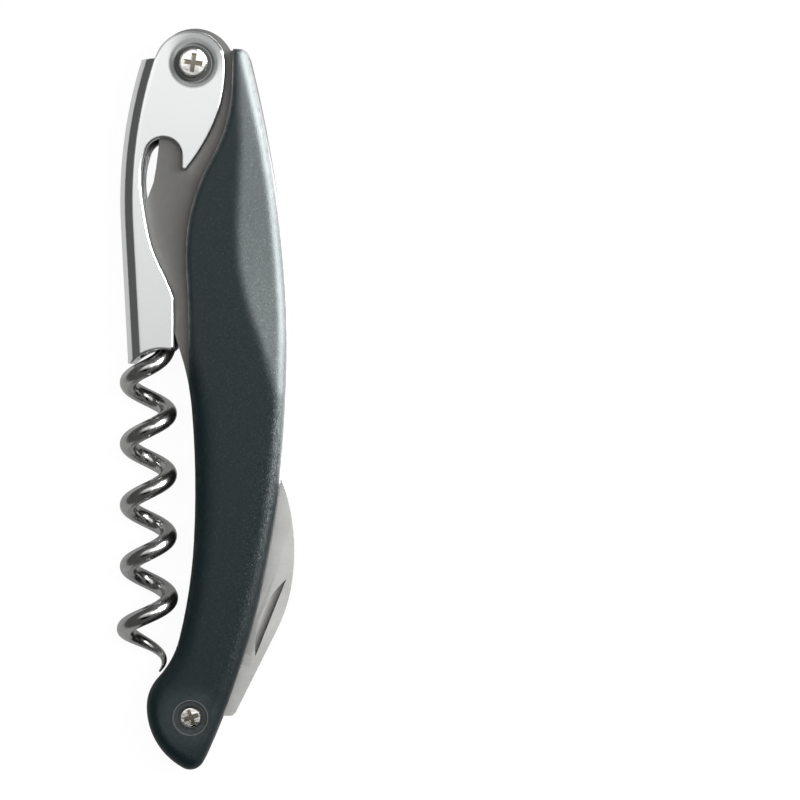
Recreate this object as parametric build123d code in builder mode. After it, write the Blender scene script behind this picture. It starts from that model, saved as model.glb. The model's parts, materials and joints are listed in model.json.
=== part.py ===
from build123d import *
import os
from math import ceil, cos, pi, radians, sin, sqrt, tan

# A waiter's lever corkscrew, folded shut and lying on its rear face.
# +Y runs up the handle from the knife to the lever, +X points to the back of the handle,
# and +Z comes out of the front. Sizes are in millimetres.

# Pivots. Points near the top are measured from the lever pivot, points near the foot from the knife pivot.
lever_pivot_x = -1.59
lever_pivot_y = 53.12
knife_pivot_x = -1.99
knife_pivot_y = -50.38
worm_pivot_drop = 25.8
worm_pivot_wall = 3.2

# Handle
handle_thickness = 13.0
nose_thickness = 8.0
nose_rise = 5.64
edge_round = 2.0
facet_tilt = 17.0
ridge_round = 0.4
ridge_lead = 3.0
step_edge = 0.35
shoulder_reach = 8.5
shoulder_rise = 2.15
shoulder_round = 1.0

# Handle outline: points with a name in back, beak, throat or front are set from the nearer pivot
back_upper = (13.3, -23.2)
nose_back = (5.8, 2.2)
nose_front = (-5.7, 1.6)
back_middle = (15.2, 58.0)
back_lower = (11.3, 21.0)
heel_back = (2.0, -7.0)
heel_front = (-1.3, -8.1)
beak = (-7.06, 1.6)
throat = (-5.2, 6.3)
front_low = (-1.9, 12.35)
front_mid = (0.42, 27.9)
front_top = (0.1, 48.6)
flank_reach = 2.0
flank_drop = 46.2
step_foot_reach = 0.6
step_foot_rise = 48.5
step_low = (-1.1, -32.5)
step_high = (2.92, -15.0)
step_end = (6.1, -3.8)
nose_neck = (-6.4, -18.7)
nose_waist = (-5.35, -10.0)
bulge_height = 18.6
bulge_edge = (0.6, 2.2)
bevel_widths = (2.1, 2.1, 4.0, 6.4, 6.8, 3.9, 2.0, 2.0)

# Slots and dowels between the halves
slot_round = 2.0
slot_rise = 0.3
knife_slot_side = 1.0
knife_slot_end = 1.5
dowel_high = (8.5, -20.0)
dowel_low = (7.2, 43.5)

# Lever, a channel bent from sheet
lever_sheet = 1.2
lever_bend = 2.7
lever_edge = 0.25
lever_length = 47.5
spine_reach = 11.7
spine_lean = 1.15
spine_bow_drop = 25.5
spine_head = (-8.4, 0.7)
ear_radius = 5.1
ear_root = (-6.1, 0.8)
ear_swell = (-4.45, 3.55)
ear_back = (4.75, -4.5)
ear_neck = (2.96, -10.36)
cheek_high = (-8.2, -20.0)
cheek_middle = (-7.3, -25.9)
cheek_low = (-5.1, -32.4)
foot_depth = 7.5
foot_length = 8.4
foot_rise = 2.05
foot_corner = 0.5
foot_arch = 3.5
foot_toe = 0.65
notch_radius = 2.85
notch_reach = 4.8
notch_lean = 20.0
notch_drop = 14.6
tooth_length = 2.3
tooth_point_reach = 1.5
tooth_back_reach = 0.85
tooth_back_rise = 0.4
tooth_front_rise = 0.7
dish_radius = 3.9
dish_floor_radius = 3.0
dish_depth = 0.5

# Worm, a wire wound from a flat shank
wire_diameter = 2.75
coil_diameter = 9.15
wire_sides = 12
worm_turns = 4.85
tip_turns = 0.6
tip_diameter = 0.3
tip_draw = 0.9
flare_turns = 1.35
flare_width = 0.75
worm_offset = 1.95
worm_gap = 0.7
worm_tip_rise = 7.8
tip_drop = 0.9
shank_thickness = 2.4
shank_width = 6.1
shank_corner = 1.5
shank_curve = (1.4, 0.4)
coil_lead = 8.4
draw_length = 7.5
wire_bend = 2.8
eye_radius = 3.0

# Knife, a serrated blade on a spring-held tang
blade_thickness = 1.6
edge_thickness = 0.3
grind_width = 5.6
blade_tip = (12.7, 40.8)
edge_mid = (9.1, 25.3)
edge_start = (3.9, 9.9)
blade_back = ((13.4, 13.4), (15.86, 21.4), (16.16, 26.5), (15.2, 34.2))
heel_corner = (6.85, 0.3)
heel_reach = 6.3
heel_drop = 0.24
choil = (0.2, 5.2)
tang_half_width = 4.75
tang_relief = 0.15
tang_foot = 2.2
tang_rise = 2.4
tang_cam_radius = 6.15
serration_pitch = 1.0
serration_radius = 0.6
serration_depth = 0.22
nick_depth = 0.65
nick_width = 2.0
nick_foot = (10.0, 9.24)
nick_head = (14.94, 21.56)
nick_belly = (10.83, 15.64)

# Back spring
spring_thickness = 1.9
spring_inset = 0.35
leaf_depth = 2.0
spring_root_depth = 4.6
spring_root_rise = 33.0
spring_end = 0.3
leaf_rise = 25.0
leaf_foot = 2.6
leaf_knee = (1.6, 5.6)
leaf_slope = (5.0, 11.0)
spring_pin_high = (2.6, 45.4)
spring_pin_low = (2.7, 36.2)

# Pins, sleeves, screws and washers
worm_pin_diameter = 3.0
pin_recess = 0.05
spring_pin_diameter = 2.0
dowel_diameter = 2.4
pin_depth = 3.0
lever_sleeve_diameter = 4.0
knife_sleeve_diameter = 3.0
screw_diameter = 2.2
screw_length = 6.0
lever_head_diameter = 4.5
knife_head_diameter = 3.6
head_height = 0.95
head_crown = 0.3
cross_width = 0.75
lever_cross = 3.0
knife_cross = 2.6
cross_depth = 0.55
lever_cross_turn = -8.0
knife_cross_turn = 20.0
lever_washer_diameter = 5.6
worm_washer_diameter = 5.4
knife_washer_diameter = 6.6
lever_washer_thickness = 0.4
worm_washer_thickness = 0.4
knife_washer_thickness = 0.3
screw_gap = 0.15
screw_room = 1.0
counterbore_diameter = 5.4
counterbore_depth = 1.3

# Clearances
running = 0.05
lever_side_gap = 0.2
swing = 0.35
channel_gap = 1.7

# Values worked out from the sizes above
mid = handle_thickness / 2
mid_plane = Plane.XY.offset(mid)
half_nose = nose_thickness / 2
lever_inner = half_nose + lever_side_gap
lever_outer = lever_inner + lever_sheet
lever_seat = lever_outer - dish_depth + running
knife_seat = mid - counterbore_depth
knife_slot = blade_thickness / 2 + running + knife_washer_thickness
worm_slot = shank_thickness / 2 + running + worm_washer_thickness
spring_slot = spring_thickness / 2 + running
wire_radius = wire_diameter / 2
coil_radius = coil_diameter / 2 - wire_radius
bulge_reach = spine_reach - lever_sheet - channel_gap
beyond = 30.0


def from_lever(x, y):
    """A point measured from the lever pivot."""
    return (lever_pivot_x + x, lever_pivot_y + y)


def from_knife(x, y):
    """A point measured from the knife pivot."""
    return (knife_pivot_x + x, knife_pivot_y + y)


lever_pivot = from_lever(0, 0)
knife_pivot = from_knife(0, 0)
worm_pivot = from_lever(worm_pivot_wall - bulge_reach, -worm_pivot_drop)


def from_worm(x, y):
    """A point measured from the worm pivot."""
    return (worm_pivot[0] + x, worm_pivot[1] + y)


os.makedirs("parts", exist_ok=True)


def keep(piece, name):
    """Label a finished piece and write it."""
    piece.label = name
    export_step(piece, f"parts/{name}.step")


def arc_run(points, tangent):
    """Draw arcs from point to point, each tangent to the one before, and return the last direction."""
    for start, end in zip(points, points[1:]):
        arc = TangentArc(start, end, tangent=tangent)
        tangent = arc % 1
    return tangent


# Handle halves: one outline, rounded, with the upper back bevelled and the nose lowered for the lever
back_way = (0.25, -1)
shoulder = from_lever(shoulder_reach, shoulder_rise)
blank_rise = nose_rise + swing - shoulder_rise
flank_foot = from_lever(-flank_reach, -flank_drop)
nose_left = from_lever(-beyond, nose_rise + swing)

with BuildSketch(mid_plane) as blank_outline:
    with BuildLine():
        blank_top = (shoulder[0] - back_way[0] * blank_rise, shoulder[1] - back_way[1] * blank_rise)
        Polyline(nose_left, blank_top, shoulder)
        upper_back = TangentArc(shoulder, from_lever(*back_upper), tangent=back_way)
        middle_back = TangentArc(upper_back @ 1, from_knife(*back_middle), tangent=upper_back % 1)
        lower_back = TangentArc(middle_back @ 1, from_knife(*back_lower), tangent=middle_back % 1)
        heel_run = [lower_back @ 1, from_knife(*heel_back), from_knife(*heel_front)]
        front_run = [from_knife(*point) for point in (beak, throat, front_low, front_mid, front_top)]
        flank_way = arc_run(heel_run + front_run + [flank_foot], lower_back % 1)
        flank_line = Line(flank_foot, Vector(*flank_foot) + flank_way * beyond)
        Polyline(flank_line @ 1, (nose_left[0], (flank_line @ 1).Y), nose_left)
    make_face()

# Points down the back edge where the bevel's widths apply, the last off the edge so that the bevel runs out
bevel_run = [Vector(*blank_top), upper_back @ 0, upper_back @ 0.5, upper_back @ 1]
bevel_run += [middle_back @ 0.5, middle_back @ 1, lower_back @ 0.18]
bevel_run += [lower_back @ 0.4 + Vector(1.5 * edge_round, 0)]
facet_way = (cos(radians(facet_tilt)), -sin(radians(facet_tilt)))
ridge_way = (cos(radians(ridge_lead)), -sin(radians(ridge_lead)))
round_reach = edge_round * tan(radians(45 - facet_tilt / 2))
with BuildPart() as back_bevel:
    for station, width in zip(bevel_run, bevel_widths):
        edge_x = station.X + 2 * running
        ridge_x = edge_x - width
        edge_z = handle_thickness - width * tan(radians(facet_tilt))
        blend_start = (ridge_x - ridge_round, handle_thickness)
        blend_end = (ridge_x + ridge_round, handle_thickness - ridge_round * tan(radians(facet_tilt)))
        round_start = (edge_x - round_reach * facet_way[0], edge_z - round_reach * facet_way[1])
        round_end = (edge_x, edge_z - round_reach)
        with BuildSketch(Plane.XZ.offset(-station.Y)):
            with BuildLine():
                TangentArc(blend_start, blend_end, tangent=ridge_way)
                Line(blend_end, round_start)
                TangentArc(round_start, round_end, tangent=facet_way)
                Polyline(
                    round_end,
                    (edge_x + beyond, edge_z - round_reach),
                    (edge_x + beyond, handle_thickness + mid),
                    (blend_start[0], handle_thickness + mid),
                    blend_start,
                )
            make_face()
    loft()

with BuildSketch(mid_plane.offset(half_nose)) as lowered_flank:
    with BuildLine():
        step_foot = from_knife(-step_foot_reach, step_foot_rise)
        step_top = from_lever(*step_end)
        step_way = arc_run([step_foot, from_lever(*step_low), from_lever(*step_high), step_top], (0.06, 1))
        step_far = Vector(*step_top) + step_way * beyond
        Line(step_top, step_far)
        Polyline(step_far, (nose_left[0], step_far.Y), (nose_left[0], step_foot[1]), step_foot)
    make_face()

with BuildSketch(mid_plane) as outside_nose:
    with BuildLine():
        bulge_foot = flank_line @ (bulge_height / beyond)
        bulge_top = from_lever(bulge_edge[0] - bulge_reach, bulge_edge[1] - worm_pivot_drop)
        nose_low = from_lever(*nose_neck)
        nose_start = from_lever(*nose_front)
        nose_end = from_lever(*nose_back)
        round_start = Vector(shoulder[0] - shoulder_round, shoulder[1])
        round_end = Vector(shoulder[0] + running, shoulder[1]) + Vector(*back_way) * shoulder_round
        sky = shoulder[1] + beyond
        ThreePointArc(bulge_foot, from_lever(-bulge_reach, -worm_pivot_drop), bulge_top)
        Line(bulge_top, nose_low)
        ThreePointArc(nose_low, from_lever(*nose_waist), nose_start)
        ThreePointArc(nose_start, from_lever(0, nose_rise), nose_end)
        Polyline(nose_end, (nose_end[0], shoulder[1]), round_start)
        TangentArc(round_start, round_end, tangent=(1, 0))
        Polyline(round_end, (beyond, round_end.Y), (beyond, sky), (nose_left[0], sky))
        Polyline((nose_left[0], sky), (nose_left[0], bulge_foot.Y), bulge_foot)
    make_face()

# Slots between the halves
with BuildSketch(mid_plane) as worm_slot_outline:
    with BuildLine():
        slot_right = eye_radius + swing
        slot_top = shank_width - worm_offset + swing
        slot_corner = from_worm(slot_right - slot_round, slot_top)
        slot_side = from_worm(slot_right, slot_top - slot_round)
        slot_left = from_worm(-beyond, slot_top)
        slot_foot = flank_foot[1] + slot_rise
        Line(slot_left, slot_corner)
        TangentArc(slot_corner, slot_side, tangent=(1, 0))
        Polyline(slot_side, (slot_side[0], slot_foot), (slot_left[0], slot_foot), slot_left)
    make_face()

with BuildSketch(mid_plane) as knife_slot_outline:
    with BuildLine():
        Polyline(
            from_knife(-beyond, 0),
            from_knife(-tang_half_width, 0),
            from_knife(edge_start[0] - knife_slot_side, edge_start[1] + swing),
            from_knife(blade_tip[0] - knife_slot_side, blade_tip[1] + knife_slot_end),
            from_knife(beyond, blade_tip[1] + knife_slot_end),
            from_knife(beyond, -beyond),
            from_knife(-beyond, -beyond),
            close=True,
        )
    make_face()
    with Locations(knife_pivot):
        Circle(tang_cam_radius + swing)

spring_line = -tang_half_width - running
spring_pin_spots = {
    "spring_pin_upper": from_knife(*spring_pin_high),
    "spring_pin_lower": from_knife(*spring_pin_low),
}


def spring_profile(front, inner, foot):
    """Draw the spring, with its front side, inner side and free end moved as told."""
    front_side = [from_knife(x + front, y) for x, y in (beak, throat, front_low, front_mid, front_top)]
    flat = spring_line + inner
    root = front_top[0] + spring_inset + spring_root_depth + inner
    leaf_top = from_knife(front_mid[0] + spring_inset + leaf_depth + inner, leaf_rise)
    leaf_run = [from_knife(flat, leaf_foot)]
    leaf_run += [from_knife(flat + x, y) for x, y in (leaf_knee, leaf_slope)]
    Line(from_knife(beak[0] + front, foot), front_side[0])
    arc_run(front_side, (0, 1))
    Polyline(front_side[-1], from_knife(root, front_top[1]), from_knife(root, spring_root_rise), leaf_top)
    leaf_way = arc_run(leaf_run, (0, 1))
    TangentArc(leaf_run[-1], leaf_top, tangent=leaf_way)
    Polyline(leaf_run[0], from_knife(flat, foot), from_knife(beak[0] + front, foot))


with BuildSketch(mid_plane) as spring_outline:
    with BuildLine():
        spring_profile(spring_inset, 0, spring_end)
    make_face()

with BuildSketch(mid_plane) as spring_slot_outline:
    with BuildLine():
        spring_profile(-edge_round, swing, -edge_round)
    make_face()

dowel_spots = {"dowel_upper": from_lever(*dowel_high), "dowel_lower": from_knife(*dowel_low)}

with BuildPart() as handle_half_front:
    add(blank_outline.sketch)
    extrude(amount=mid)
    outer_face = handle_half_front.faces().sort_by(Axis.Z)[-1]
    fillet(outer_face.edges().filter_by(GeomType.CIRCLE), edge_round)
    add(back_bevel.part, mode=Mode.SUBTRACT)
    extrude(lowered_flank.sketch, amount=mid, mode=Mode.SUBTRACT)
    top_edges = handle_half_front.edges().filter_by_position(Axis.Z, handle_thickness, handle_thickness)
    chamfer(top_edges.sort_by_distance(Vector(*from_lever(*step_low), handle_thickness))[:2], step_edge)
    extrude(outside_nose.sketch, amount=mid, mode=Mode.SUBTRACT)
    extrude(worm_slot_outline.sketch, amount=worm_slot, mode=Mode.SUBTRACT)
    extrude(knife_slot_outline.sketch, amount=knife_slot, mode=Mode.SUBTRACT)
    extrude(spring_slot_outline.sketch, amount=spring_slot, mode=Mode.SUBTRACT)
    with BuildSketch(mid_plane):
        with Locations(lever_pivot):
            Circle(lever_sleeve_diameter / 2)
        with Locations(knife_pivot):
            Circle(knife_sleeve_diameter / 2)
        with Locations(worm_pivot):
            Circle(worm_pin_diameter / 2)
    extrude(amount=mid, mode=Mode.SUBTRACT)
    with BuildSketch(mid_plane.offset(knife_seat)):
        with Locations(knife_pivot):
            Circle(counterbore_diameter / 2)
    extrude(amount=counterbore_depth, mode=Mode.SUBTRACT)
    with BuildSketch(mid_plane):
        with Locations(*spring_pin_spots.values()):
            Circle(spring_pin_diameter / 2)
        with Locations(*dowel_spots.values()):
            Circle(dowel_diameter / 2)
    extrude(amount=pin_depth, mode=Mode.SUBTRACT)
keep(handle_half_front.part, "handle_half_front")

with BuildPart() as handle_half_rear:
    mirror(handle_half_front.part, about=mid_plane)
keep(handle_half_rear.part, "handle_half_rear")

# Lever: a side profile bent to a channel, made as one half and mirrored
spine_top = from_lever(*spine_head)
spine_bow = from_lever(-spine_reach, -spine_bow_drop)
spine_end = from_lever(spine_lean - spine_reach, -lever_length)


def spine_line(shift, overrun):
    """Draw the spine upwards, moved sideways by shift and run on past both ends."""
    low = Vector(spine_end[0] + shift, spine_end[1])
    bow = Vector(spine_bow[0] + shift, spine_bow[1])
    high = Vector(spine_top[0] + shift, spine_top[1])
    straight = (bow - low).normalized()
    start = low - straight * overrun
    Line(start, bow)
    bend = TangentArc(bow, high, tangent=straight)
    end = high + (bend % 1) * overrun
    if overrun > 0:
        Line(high, end)
    return start, end


with BuildPart() as channel_core:
    with BuildSketch(mid_plane):
        with BuildLine():
            core_low, core_high = spine_line(lever_sheet, 2 * ear_radius)
            core_right = from_lever(beyond, 0)[0]
            Polyline(core_high, (core_right, core_high.Y), (core_right, core_low.Y), core_low)
        make_face()
    extrude(amount=lever_inner)
    core_edges = channel_core.faces().sort_by(Axis.Z)[-1].edges().sort_by(Axis.X)
    fillet(core_edges[:3], lever_bend - lever_sheet)

with BuildPart() as lever:
    with BuildSketch(mid_plane):
        with BuildLine():
            notch_x = -notch_reach
            ear_top = from_lever(0, ear_radius)
            ear_side = from_lever(ear_radius * cos(radians(45)), ear_radius * sin(radians(45)))
            ear_foot = from_lever(*ear_root)
            notch_way = (-sin(radians(notch_lean)), -cos(radians(notch_lean)))
            notch_lip = (notch_x + notch_radius * notch_way[1], -notch_radius * notch_way[0] - notch_drop)
            notch_end = from_lever(*notch_lip)
            notch_start = from_lever(notch_x + notch_radius, -notch_drop)
            tooth_drop = notch_drop + tooth_length
            tooth_end = from_lever(notch_x + notch_radius, tooth_front_rise - tooth_drop)
            tooth_back = from_lever(-tooth_back_reach, tooth_back_rise - tooth_drop)
            foot_right = spine_end[0] + foot_depth
            foot_bottom = spine_end[1] + foot_rise
            foot_top = (foot_right, foot_bottom + foot_length)
            spine_line(0, 0)
            Line(spine_top, ear_foot)
            ThreePointArc(ear_foot, from_lever(*ear_swell), ear_top)
            ear_right = from_lever(ear_radius, 0)
            ThreePointArc(ear_top, ear_side, ear_right)
            arc_run([ear_right, from_lever(*ear_back), from_lever(*ear_neck), tooth_back], (0, -1))
            ThreePointArc(tooth_back, from_lever(-tooth_point_reach, -tooth_drop), tooth_end)
            Line(tooth_end, notch_start)
            ThreePointArc(notch_start, from_lever(notch_x, notch_radius - notch_drop), notch_end)
            cheek_run = [from_lever(*point) for point in (cheek_high, cheek_middle, cheek_low)]
            arc_run([notch_end] + cheek_run + [foot_top], notch_way)
            foot_tip = (foot_right - foot_corner, foot_bottom)
            toe = (spine_end[0] + foot_toe, spine_end[1])
            Polyline(foot_top, (foot_right, foot_bottom + foot_corner), foot_tip)
            ThreePointArc(foot_tip, (foot_right - foot_arch, foot_bottom), toe)
            Line(toe, spine_end)
        make_face()
    extrude(amount=lever_outer)
    spine_edges = lever.faces().sort_by(Axis.Z)[-1].edges().sort_by_distance(
        Vector(*spine_bow, mid + lever_outer)
    )
    fillet(spine_edges[:2], lever_bend)
    cheek_edges = lever.faces().sort_by(Axis.Z)[-1].edges().sort_by_distance(
        Vector(*spine_bow, mid + lever_outer)
    )
    chamfer(cheek_edges[2:], lever_edge)
    add(channel_core.part, mode=Mode.SUBTRACT)
    with Locations((*lever_pivot, mid + lever_outer)):
        sunk = (Align.CENTER, Align.CENTER, Align.MAX)
        Cone(dish_floor_radius, dish_radius, dish_depth, align=sunk, mode=Mode.SUBTRACT)
    with Locations((*lever_pivot, mid)):
        Cylinder(lever_sleeve_diameter / 2 + running, handle_thickness, mode=Mode.SUBTRACT)
    mirror(about=mid_plane)
keep(lever.part, "lever")

# Worm: a flat shank drawn down to a round wire, wound to the right and ground to a point
worm_axis_x = worm_pivot[0] - worm_offset
worm_start_y = spine_end[1] - worm_gap
worm_pitch = (worm_start_y - from_knife(0, worm_tip_rise)[1]) / worm_turns
shank_right = worm_axis_x + coil_diameter / 2
shank_left = shank_right - shank_width
shank_low = worm_start_y + coil_lead


def coil_point(turn):
    """A point on the worm's centre line, counted in turns from its first front crossing."""
    flare = max(0, turn - worm_turns + flare_turns) / flare_turns
    radius = coil_radius + flare_width * sin(pi * flare) ** 2 - tip_draw * flare**2
    angle = 2 * pi * turn
    return Vector(
        worm_axis_x - radius * sin(angle),
        worm_start_y - worm_pitch * turn - tip_drop * flare**2,
        mid + radius * cos(angle),
    )


def coil_way(turn):
    """The direction of the worm's centre line."""
    step = 0.0001
    return (coil_point(turn + step) - coil_point(turn - step)).normalized()


def biarc(start, start_way, end, end_way):
    """Draw two tangent arcs that leave and arrive in the directions given."""
    across = end - start
    both = start_way + end_way
    spread = 2 * (1 - start_way.dot(end_way))
    lean = across.dot(both)
    reach = (sqrt(lean**2 + spread * across.dot(across)) - lean) / spread
    joint = (start + start_way * reach + end - end_way * reach) * 0.5
    first = TangentArc(start, joint, tangent=start_way)
    TangentArc(joint, end, tangent=first % 1)


full_turns = worm_turns - tip_turns
quarters = ceil(4 * full_turns)
stations = [full_turns * quarter / quarters for quarter in range(quarters + 1)]
wire_start = Vector(worm_axis_x + coil_radius, shank_low + draw_length, mid)
wire_turn = Vector(worm_axis_x + coil_radius, worm_start_y + worm_pitch / 4 + wire_bend, mid)
down = Vector(0, -1, 0)

with BuildLine() as wire_path:
    Line(Vector(wire_start.X, shank_low, mid), wire_turn)
    biarc(wire_turn, down, coil_point(0), coil_way(0))
    for here, there in zip(stations, stations[1:]):
        biarc(coil_point(here), coil_way(here), coil_point(there), coil_way(there))

with BuildPart() as worm:
    with BuildSketch(Plane(wire_path.line @ 0, z_dir=wire_path.line % 0)):
        RegularPolygon(wire_radius, wire_sides)
    sweep(path=wire_path.line)
    with BuildSketch(Plane(wire_start, z_dir=down)):
        Circle(shank_thickness / 2 - running)
    with BuildSketch(Plane(Vector(wire_start.X, shank_low, mid), z_dir=down)):
        Circle(wire_radius)
    loft()
    tip_steps = 6
    for step in range(tip_steps + 1):
        turn = full_turns + tip_turns * step / tip_steps
        taper = (wire_radius - tip_diameter / 2) * step / tip_steps
        centre = coil_point(turn)
        outwards = centre - Vector(worm_axis_x, centre.Y, mid)
        with BuildSketch(Plane(centre, x_dir=outwards, z_dir=coil_way(turn))):
            RegularPolygon(wire_radius - taper, wire_sides)
    loft(ruled=True)
    with BuildSketch(mid_plane):
        with BuildLine():
            eye_left = from_worm(-eye_radius * cos(radians(20)), eye_radius * sin(radians(20)))
            Line((shank_right, shank_low), (shank_right, worm_pivot[1]))
            RadiusArc((shank_right, worm_pivot[1]), eye_left, -eye_radius)
            shank_side = (shank_left, shank_low + shank_corner)
            shank_foot = (shank_right - wire_diameter + running, shank_low)
            Line(eye_left, shank_side)
            ThreePointArc(shank_side, (shank_left + shank_curve[0], shank_low + shank_curve[1]), shank_foot)
            Line(shank_foot, (shank_right, shank_low))
        make_face()
    extrude(amount=shank_thickness / 2, both=True)
    with Locations((*worm_pivot, mid)):
        Cylinder(worm_pin_diameter / 2 + running, handle_thickness, mode=Mode.SUBTRACT)
keep(worm.part, "worm")

samples = [coil_point(worm_turns * count / 400) for count in range(401)]
apart = int(400 * 0.4 / worm_turns)
least = min((a - b).length for i, a in enumerate(samples) for b in samples[i + apart :])
print(f"worm: least gap between turns {least - wire_diameter:.2f} mm")

# Knife: tang, curved blade with a flat grind on both sides, scalloped edge and a nail nick
edge_line = Vector(blade_tip[0] - edge_start[0], blade_tip[1] - edge_start[1], 0)
along_edge = edge_line.normalized()
into_blade = Vector(along_edge.Y, -along_edge.X, 0)
plunge = Vector(*from_knife(*edge_start), mid) - along_edge

with BuildSketch(mid_plane) as blade_outline:
    with BuildLine():
        cam_left = -sqrt(tang_cam_radius**2 - tang_half_width**2)
        cam_right = -sqrt(tang_cam_radius**2 - tang_foot**2)
        Polyline(
            from_knife(tang_foot, cam_right),
            from_knife(tang_half_width - tang_relief, -heel_drop),
            from_knife(heel_reach, -heel_drop),
            from_knife(*heel_corner),
            from_knife(*blade_back[0]),
        )
        blade_way = (blade_back[0][0] - heel_corner[0], blade_back[0][1] - heel_corner[1])
        arc_run([from_knife(*point) for point in (*blade_back, blade_tip)], blade_way)
        blade_edge = ThreePointArc(from_knife(*blade_tip), from_knife(*edge_mid), from_knife(*edge_start))
        Polyline(
            from_knife(*edge_start),
            from_knife(*choil),
            from_knife(-tang_half_width, tang_rise),
            from_knife(-tang_half_width, cam_left),
        )
        ThreePointArc(
            from_knife(-tang_half_width, cam_left),
            from_knife(0, -tang_cam_radius),
            from_knife(tang_foot, cam_right),
        )
    make_face()

with BuildPart() as grind:
    with BuildSketch(Plane(plunge, x_dir=into_blade, z_dir=along_edge)):
        with BuildLine():
            half_edge = edge_thickness / 2
            half_blade = blade_thickness / 2
            Polyline(
                (-grind_width, half_edge),
                (0, half_edge),
                (grind_width, half_blade),
                (grind_width, blade_thickness),
                (-grind_width, blade_thickness),
                close=True,
            )
        make_face()
    extrude(amount=edge_line.length + grind_width)
    mirror(about=mid_plane)

nick_low = Vector(*from_knife(*nick_foot), mid + blade_thickness / 2 - nick_depth)
nick_high = Vector(*from_knife(*nick_head), nick_low.Z)
nick_way = (nick_high - nick_low).normalized()
nick_slope = Vector(-nick_way.Y * nick_width, nick_way.X * nick_width, nick_depth)

with BuildPart() as nick:
    with BuildSketch(mid_plane):
        with BuildLine():
            ThreePointArc((nick_low.X, nick_low.Y), from_knife(*nick_belly), (nick_high.X, nick_high.Y))
            Line((nick_high.X, nick_high.Y), (nick_low.X, nick_low.Y))
        make_face()
    extrude(amount=blade_thickness)
    split(bisect_by=Plane(nick_low, x_dir=nick_way, z_dir=nick_way.cross(nick_slope)))

with BuildPart() as knife_blade:
    add(blade_outline.sketch)
    extrude(amount=blade_thickness / 2, both=True)
    add(grind.part, mode=Mode.SUBTRACT)
    add(nick.part, mode=Mode.SUBTRACT)
    with BuildSketch(mid_plane):
        scallops = int(0.9 * blade_edge.length / serration_pitch)
        for scallop in range(scallops):
            reach = 1 - (scallop + 1) * serration_pitch / blade_edge.length
            spot = blade_edge @ reach - into_blade * (serration_radius - serration_depth)
            with Locations((spot.X, spot.Y)):
                Circle(serration_radius)
    extrude(amount=blade_thickness, both=True, mode=Mode.SUBTRACT)
    with Locations((*knife_pivot, mid)):
        Cylinder(knife_sleeve_diameter / 2 + running, handle_thickness, mode=Mode.SUBTRACT)
keep(knife_blade.part, "knife_blade")

# Back spring, held by two pins at its root
with BuildPart() as back_spring:
    add(spring_outline.sketch)
    extrude(amount=spring_thickness / 2, both=True)
    with BuildSketch(mid_plane):
        with Locations(*spring_pin_spots.values()):
            Circle(spring_pin_diameter / 2)
    extrude(amount=spring_thickness, both=True, mode=Mode.SUBTRACT)
keep(back_spring.part, "back_spring")

# Pins and dowels
pins = {"worm_pivot_pin": (worm_pivot, worm_pin_diameter, half_nose - pin_recess)}
pins.update({name: (spot, spring_pin_diameter, pin_depth) for name, spot in spring_pin_spots.items()})
pins.update({name: (spot, dowel_diameter, pin_depth) for name, spot in dowel_spots.items()})
for name, (spot, diameter, half_length) in pins.items():
    with BuildPart() as pin:
        with BuildSketch(mid_plane):
            with Locations(spot):
                Circle(diameter / 2)
        extrude(amount=half_length, both=True)
    keep(pin.part, name)

# Washers, in pairs
worm_washer_seat = worm_slot - worm_washer_thickness
knife_washer_seat = knife_slot - knife_washer_thickness
washers = {
    "lever_washer": (lever_pivot, lever_sleeve_diameter, lever_washer_diameter, lever_seat),
    "worm_washer": (worm_pivot, worm_pin_diameter, worm_washer_diameter, worm_washer_seat),
    "knife_washer": (knife_pivot, knife_sleeve_diameter, knife_washer_diameter, knife_washer_seat),
}
thicknesses = {
    "lever_washer": lever_washer_thickness,
    "worm_washer": worm_washer_thickness,
    "knife_washer": knife_washer_thickness,
}
for name, (spot, bore, diameter, seat) in washers.items():
    with BuildPart() as washer:
        with BuildSketch(mid_plane.offset(seat)):
            with Locations(spot):
                Circle(diameter / 2)
                Circle(bore / 2, mode=Mode.SUBTRACT)
        extrude(amount=thicknesses[name])
    keep(washer.part, f"{name}_front")
    with BuildPart() as washer_rear:
        mirror(washer.part, about=mid_plane)
    keep(washer_rear.part, f"{name}_rear")

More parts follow.
